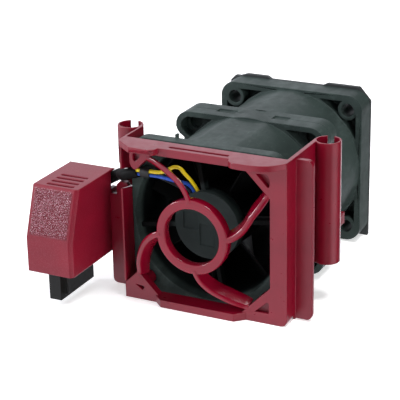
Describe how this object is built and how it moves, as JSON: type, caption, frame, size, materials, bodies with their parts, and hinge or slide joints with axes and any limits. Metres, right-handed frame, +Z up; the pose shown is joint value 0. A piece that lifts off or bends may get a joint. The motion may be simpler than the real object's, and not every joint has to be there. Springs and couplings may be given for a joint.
{
  "type": "server fan module",
  "caption": "Hot-swap two-stage axial server fan in a moulded holder with swirl guard, slotted guide tubes, hooded side plug and short cable.",
  "frame": {"origin": "under the middle of the module's overall box, on the plane that its base stands on", "axes": "+Y along the fan axis the way the air goes, from the guard to the outlet; +Z up; +X to the right seen from the guard side, away from the plug"},
  "size_m": [0.0676, 0.075, 0.0413],
  "materials": {
    "holder_plastic": "satin moulded",
    "hood_plastic": "satin moulded, fine texture on the sloped front",
    "connector_plastic": "satin",
    "contact_metal": "tin-flashed",
    "fan_frame_plastic": "satin glass-filled",
    "gasket_rubber": "matt",
    "cable_jacket": "satin",
    "sleeve_black": "satin",
    "wire_yellow": "gloss",
    "wire_blue": "gloss",
    "wire_black": "gloss",
    "impeller_plastic": "satin",
    "yoke_steel": "plated",
    "magnet_ferrite": "matt",
    "shaft_steel": "ground",
    "ring_spring_steel": "blued",
    "bearing_tube_brass": "turned",
    "bearing_steel": "polished",
    "spring_steel": "bright",
    "core_steel": "laminated",
    "insulator_plastic": "matt",
    "winding_copper": "enamelled",
    "board_laminate": "solder mask"
  },
  "bodies": {
    "module": {"fan_holder": "holder_plastic", "plug_hood": "hood_plastic", "connector_body": "connector_plastic", "connector_contacts": "contact_metal", "swirl_guard": "holder_plastic", "front_housing": "fan_frame_plastic", "rear_housing": "fan_frame_plastic", "front_motor_base": "fan_frame_plastic", "rear_motor_base": "fan_frame_plastic", "outlet_gasket": "gasket_rubber", "cable_sheath": "cable_jacket", "wire_sleeve": "sleeve_black", "wire_yellow": "wire_yellow", "wire_blue": "wire_blue", "wires_black": "wire_black", "front_bearing_tube": "bearing_tube_brass", "front_bearings": "bearing_steel", "front_preload_washer": "spring_steel", "front_stator_core": "core_steel", "front_insulators": "insulator_plastic", "front_windings": "winding_copper", "front_circuit_board": "board_laminate", "rear_bearing_tube": "bearing_tube_brass", "rear_bearings": "bearing_steel", "rear_preload_washer": "spring_steel", "rear_stator_core": "core_steel", "rear_insulators": "insulator_plastic", "rear_windings": "winding_copper", "rear_circuit_board": "board_laminate"},
    "front_rotor": {"front_impeller": "impeller_plastic", "front_rotor_yoke": "yoke_steel", "front_magnet": "magnet_ferrite", "front_shaft": "shaft_steel", "front_retaining_ring": "ring_spring_steel"},
    "rear_rotor": {"rear_impeller": "impeller_plastic", "rear_rotor_yoke": "yoke_steel", "rear_magnet": "magnet_ferrite", "rear_shaft": "shaft_steel", "rear_retaining_ring": "ring_spring_steel"}
  },
  "joints": [
    {"name": "front_spin", "type": "hinge", "parent": "module", "child": "front_rotor", "pos_m": [0.00575, -0.0072, 0.0204], "axis": [0, 1, 0], "continuous": true},
    {"name": "rear_spin", "type": "hinge", "parent": "module", "child": "rear_rotor", "pos_m": [0.00575, 0.0213, 0.0204], "axis": [0, 1, 0], "continuous": true}
  ]
}
